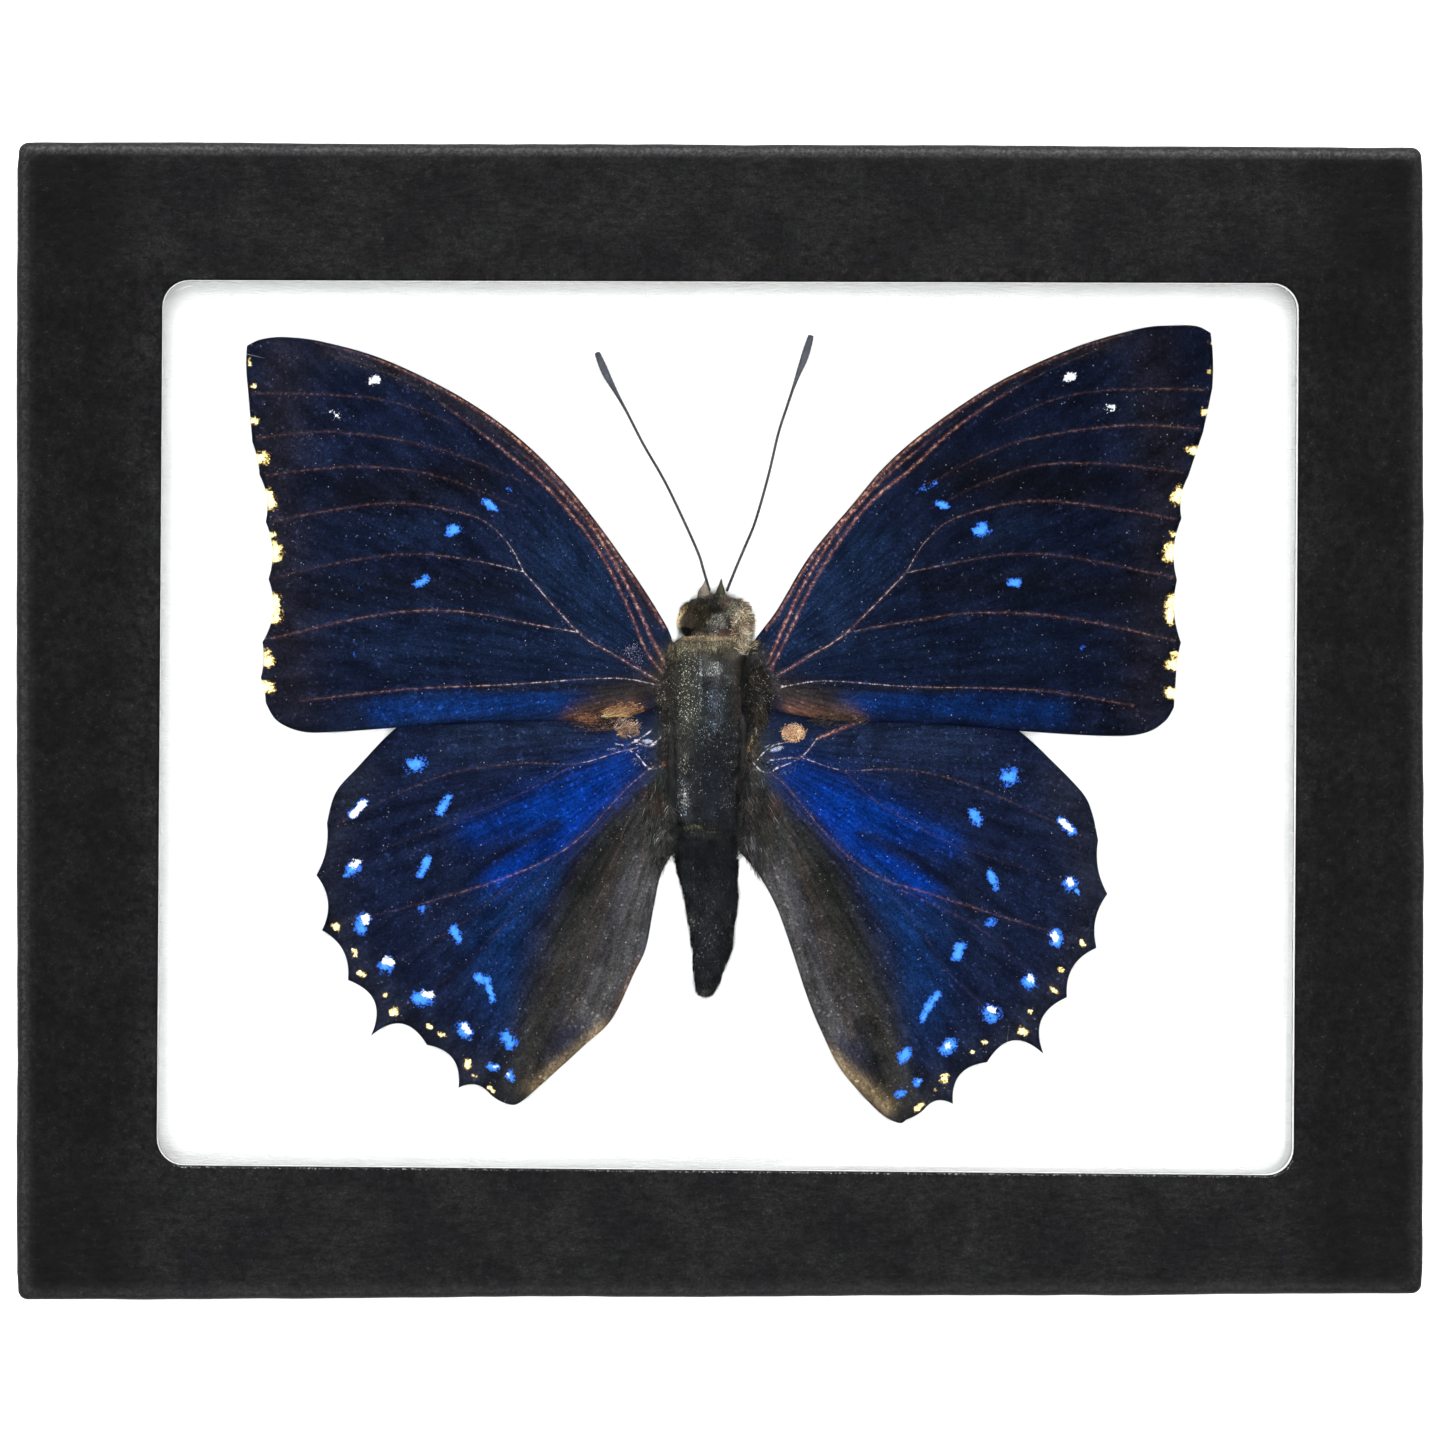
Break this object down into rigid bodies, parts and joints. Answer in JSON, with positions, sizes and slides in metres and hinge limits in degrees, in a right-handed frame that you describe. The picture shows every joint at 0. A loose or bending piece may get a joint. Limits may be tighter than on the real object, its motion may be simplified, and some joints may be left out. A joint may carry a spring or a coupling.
{
  "type": "framed butterfly specimen",
  "caption": "Blue tailed butterfly spread on white batting in a shallow black paper-covered box with a glazed window in its lid.",
  "frame": {"origin": "centre of the box's outline on the surface that its back lies on", "axes": "+Z out of the glass, +Y toward the insect's head, +X toward the insect's right side as seen in the window"},
  "size_m": [0.127, 0.104, 0.019],
  "materials": {
    "black_paper": "black paper with a fine mottled grain over board",
    "tray_paper": "plain black paper over board",
    "clear_glass": "clear sheet glass",
    "white_batting": "loose white fibre",
    "forewing_scales": "dry wing with navy scales, pale blue and cream spots",
    "hindwing_scales": "dry wing with royal blue scales, brown inner fold",
    "body_hair": "dry insect body under fine grey-brown hair",
    "abdomen_scales": "dry insect body with dark scales",
    "head_hair": "tan hair and a brown glossy eye",
    "antenna_horn": "dark horny antenna"
  },
  "bodies": {
    "root": {"tray": "tray_paper", "lid": "black_paper", "glass_pane": "clear_glass", "fill": "white_batting", "head": "head_hair", "thorax": "body_hair", "abdomen": "abdomen_scales", "forewing_left": "forewing_scales", "forewing_right": "forewing_scales", "hindwing_left": "hindwing_scales", "hindwing_right": "hindwing_scales", "antenna_left": "antenna_horn", "antenna_right": "antenna_horn"}
  },
  "joints": []
}
